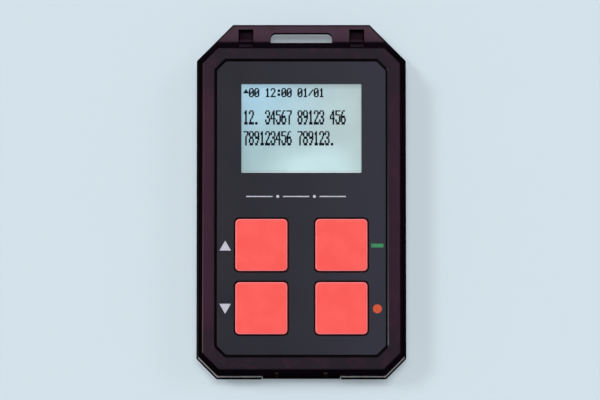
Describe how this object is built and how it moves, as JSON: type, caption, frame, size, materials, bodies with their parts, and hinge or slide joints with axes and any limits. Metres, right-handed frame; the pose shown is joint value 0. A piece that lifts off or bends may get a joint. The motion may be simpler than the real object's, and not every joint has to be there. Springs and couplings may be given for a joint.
{
  "type": "pager",
  "caption": "Hand-held message pager with a cut-corner case, lanyard tab, backlit display, square push keys, vibration motor and sliding battery door.",
  "frame": {"origin": "middle of the back face", "axes": "+X to the right of the face, +Y along the length towards the lanyard tab, +Z out of the face with the keys"},
  "size_m": [0.06, 0.1016, 0.0202],
  "materials": {
    "case_plastic": "satin, very dark purple",
    "label_film": "fine matte film",
    "clear_plastic": "clear, polished",
    "display_glass": "polished",
    "light_guide": "milky",
    "white_plastic": "matte",
    "black_plastic": "matte",
    "key_plastic": "matte, coral red",
    "ribbon_film": "amber film",
    "circuit_board": "green solder mask",
    "steel": "satin",
    "tungsten": "sintered, grey",
    "spring_steel": "nickel plated",
    "copper": "enamelled copper",
    "gold_plate": "gold plated",
    "cell_sleeve": "printed sleeve",
    "red_wire": "insulated wire",
    "black_wire": "insulated wire"
  },
  "bodies": {
    "housing": {"rear_shell": "case_plastic", "front_shell": "case_plastic", "front_label": "label_film", "display_window": "clear_plastic", "lcd_front_glass": "display_glass", "lcd_rear_glass": "display_glass", "lcd_backlight": "light_guide", "lcd_frame": "white_plastic", "ribbon_connector": "white_plastic", "lcd_ribbon": "ribbon_film", "backlight_lamp": "white_plastic", "main_board": "circuit_board", "controller_chip": "black_plastic", "memory_chip": "black_plastic", "power_inductor": "black_plastic", "radio_crystal": "steel", "buzzer": "black_plastic", "motor_holder": "black_plastic", "radio_shield": "steel", "vibration_motor": "steel", "antenna_coil": "copper", "battery_cell": "cell_sleeve", "battery_spring": "spring_steel", "battery_plate_negative": "spring_steel", "battery_plate_positive": "spring_steel", "battery_wire_negative": "black_wire", "battery_wire_positive": "red_wire", "charge_wire_left": "black_wire", "charge_wire_right": "red_wire", "charge_contact_left": "gold_plate", "charge_contact_right": "gold_plate", "case_screw_left": "steel", "case_screw_right": "steel", "board_screw_1": "steel", "board_screw_2": "steel", "board_screw_3": "steel", "board_screw_4": "steel", "up_switch": "steel", "down_switch": "steel", "confirm_switch": "steel", "stop_switch": "steel"},
    "up_key": {"up_keycap": "key_plastic", "up_plunger": "black_plastic"},
    "down_key": {"down_keycap": "key_plastic", "down_plunger": "black_plastic"},
    "confirm_key": {"confirm_keycap": "key_plastic", "confirm_plunger": "black_plastic"},
    "stop_key": {"stop_keycap": "key_plastic", "stop_plunger": "black_plastic"},
    "battery_door": {"battery_door": "case_plastic"},
    "motor_rotor": {"motor_shaft": "steel", "motor_weight": "tungsten"}
  },
  "joints": [
    {"name": "up_press", "type": "slide", "parent": "housing", "child": "up_key", "axis": [0, 0, -1], "range_m": [0, 0.0006], "stiffness_N_per_m": 400, "springref_m": -0.001},
    {"name": "down_press", "type": "slide", "parent": "housing", "child": "down_key", "axis": [0, 0, -1], "range_m": [0, 0.0006], "stiffness_N_per_m": 400, "springref_m": -0.001},
    {"name": "confirm_press", "type": "slide", "parent": "housing", "child": "confirm_key", "axis": [0, 0, -1], "range_m": [0, 0.0006], "stiffness_N_per_m": 400, "springref_m": -0.001},
    {"name": "stop_press", "type": "slide", "parent": "housing", "child": "stop_key", "axis": [0, 0, -1], "range_m": [0, 0.0006], "stiffness_N_per_m": 400, "springref_m": -0.001},
    {"name": "battery_door_slide", "type": "slide", "parent": "housing", "child": "battery_door", "axis": [0, -1, 0], "range_m": [0, 0.0175]},
    {"name": "motor_spin", "type": "hinge", "parent": "housing", "child": "motor_rotor", "pos_m": [0.0163, -0.014, 0.0062], "axis": [1, 0, 0], "continuous": true}
  ]
}
